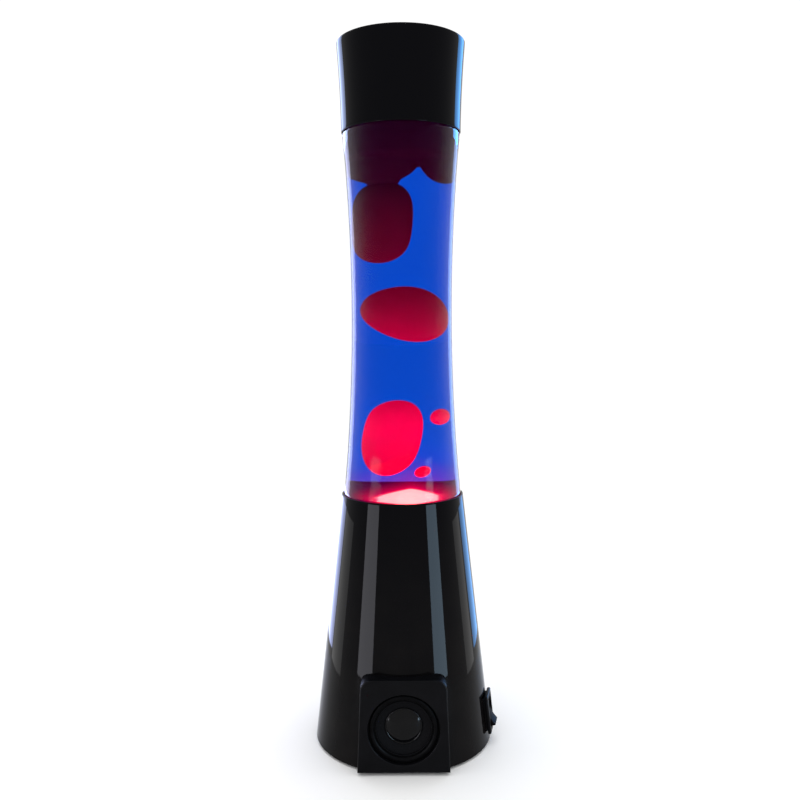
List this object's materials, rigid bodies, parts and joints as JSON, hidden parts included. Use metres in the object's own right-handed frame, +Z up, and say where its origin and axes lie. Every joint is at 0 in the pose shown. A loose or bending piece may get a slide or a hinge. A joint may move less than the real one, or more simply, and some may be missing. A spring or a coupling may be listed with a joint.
{
  "type": "lava lamp",
  "caption": "Lava lamp: waisted glass bottle of blue liquid and red wax on a gloss black cone with a loudspeaker and a rocker switch, under a flared black cap.",
  "frame": {"origin": "on the lamp's axis, in the plane of the undersides of its rubber feet", "axes": "+Z up along the lamp's axis, -Y towards the front where the loudspeaker faces, +X to the right where the rocker switch is"},
  "size_m": [0.1076, 0.1038, 0.4],
  "materials": {
    "gloss_black_paint": "gloss black stove enamel",
    "satin_black_abs": "satin moulded",
    "black_rubber": "matt",
    "zinc_steel": "zinc plated",
    "ferrite": "matt ground ferrite and plated steel",
    "cone_paper": "matt pulp",
    "dust_cap_film": "gloss",
    "spider_cloth": "resin-stiffened weave",
    "copper_coil": "enamelled wire",
    "holder_resin": "satin",
    "bulb_base": "nickel plated",
    "bulb_glass": "frosted",
    "board_laminate": "solder mask",
    "board_components": "mixed",
    "brass_tag": "bare",
    "lead_pvc": "satin",
    "clear_glass": "clear",
    "blue_liquid": "clear tinted liquid",
    "red_wax": "translucent",
    "cap_steel": "tin plated",
    "liner_foam": "matt",
    "rocker_nylon": "semi-gloss"
  },
  "bodies": {
    "base": {"base_shell": "gloss_black_paint", "bottle_seat": "satin_black_abs", "bottom_plate": "satin_black_abs", "bottom_screws": "zinc_steel", "rubber_feet": "black_rubber", "speaker_box": "satin_black_abs", "speaker_box_screws": "zinc_steel", "speaker_basket": "zinc_steel", "speaker_screws": "zinc_steel", "speaker_magnet": "ferrite", "speaker_spider": "spider_cloth", "speaker_surround": "black_rubber", "lampholder_bracket": "zinc_steel", "bracket_screws": "zinc_steel", "lampholder": "holder_resin", "lampholder_nut": "zinc_steel", "bulb_cap": "bulb_base", "bulb_glass": "bulb_glass", "mains_board": "board_laminate", "mains_board_parts": "board_components", "amplifier_board": "board_laminate", "amplifier_board_parts": "board_components", "board_screws": "zinc_steel", "switch_housing": "satin_black_abs", "switch_terminals": "brass_tag", "cord_gland": "satin_black_abs", "mains_leads": "lead_pvc", "speaker_leads": "lead_pvc"},
    "bottle": {"bottle_glass": "clear_glass", "liquid": "blue_liquid", "wax_pool": "red_wax", "wax_blobs": "red_wax", "wax_top": "red_wax", "heater_coil": "zinc_steel", "crown_liner": "liner_foam", "crown_cap": "cap_steel"},
    "cap": {"cap_shell": "gloss_black_paint"},
    "rocker": {"rocker": "rocker_nylon"},
    "speaker_cone": {"speaker_cone": "cone_paper", "dust_cap": "dust_cap_film", "voice_coil": "copper_coil"}
  },
  "joints": [
    {"name": "bottle_lift", "type": "slide", "parent": "base", "child": "bottle", "axis": [0, 0, 1], "range_m": [0, 0.04]},
    {"name": "cap_lift", "type": "slide", "parent": "bottle", "child": "cap", "axis": [0, 0, 1], "range_m": [0, 0.05]},
    {"name": "rocker_tilt", "type": "hinge", "parent": "base", "child": "rocker", "pos_m": [0.04738, -0.01007, 0.01743], "axis": [0.2079, 0.9781, 0], "range_deg": [0, 20]},
    {"name": "cone_travel", "type": "slide", "parent": "base", "child": "speaker_cone", "axis": [0, -1, 0], "range_m": [-0.0008, 0.0008], "stiffness_N_per_m": 1500}
  ]
}
